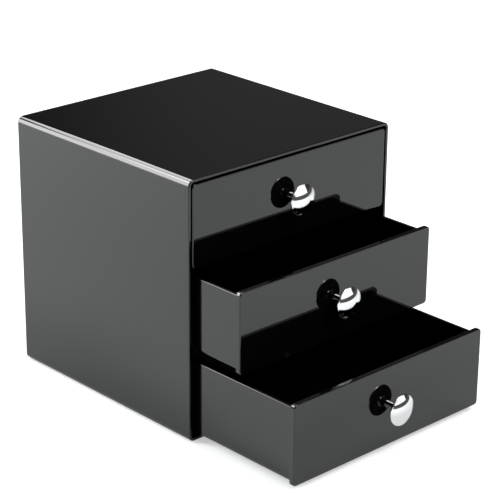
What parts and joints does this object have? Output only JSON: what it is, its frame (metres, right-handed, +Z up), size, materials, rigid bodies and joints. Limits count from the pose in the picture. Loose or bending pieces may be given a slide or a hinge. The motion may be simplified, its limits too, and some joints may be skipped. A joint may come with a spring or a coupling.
{
  "type": "vanity organizer with drawers",
  "caption": "Cube-shaped gloss black tabletop organizer with a stack of equal drawers that slide out on side runners, each pulled by a round chrome knob.",
  "frame": {"origin": "middle of the underside of the case, on the surface it rests on", "axes": "-Y is the front that the drawers come out of, +X is to the right seen from the front, +Z is up"},
  "size_m": [0.165, 0.2574, 0.165],
  "materials": {
    "gloss_black": "polished black plastic",
    "runner_black": "plain moulded black plastic",
    "chrome": "bright chrome plate",
    "screw_steel": "zinc plated steel"
  },
  "bodies": {
    "case": {"case_shell": "gloss_black", "back_panel": "gloss_black", "runner_left_top": "runner_black", "runner_right_top": "runner_black", "runner_left_middle": "runner_black", "runner_right_middle": "runner_black", "runner_left_bottom": "runner_black", "runner_right_bottom": "runner_black"},
    "drawer_top": {"drawer_tray_top": "gloss_black", "drawer_front_top": "gloss_black", "knob_top": "chrome", "knob_screw_top": "screw_steel", "knob_washer_top": "screw_steel"},
    "drawer_middle": {"drawer_tray_middle": "gloss_black", "drawer_front_middle": "gloss_black", "knob_middle": "chrome", "knob_screw_middle": "screw_steel", "knob_washer_middle": "screw_steel"},
    "drawer_bottom": {"drawer_tray_bottom": "gloss_black", "drawer_front_bottom": "gloss_black", "knob_bottom": "chrome", "knob_screw_bottom": "screw_steel", "knob_washer_bottom": "screw_steel"}
  },
  "joints": [
    {"name": "top_drawer_slide", "type": "slide", "parent": "case", "child": "drawer_top", "axis": [0, -1, 0], "range_m": [0, 0.115]},
    {"name": "middle_drawer_slide", "type": "slide", "parent": "case", "child": "drawer_middle", "axis": [0, -1, 0], "range_m": [-0.04, 0.075]},
    {"name": "bottom_drawer_slide", "type": "slide", "parent": "case", "child": "drawer_bottom", "axis": [0, -1, 0], "range_m": [-0.085, 0.03]}
  ]
}
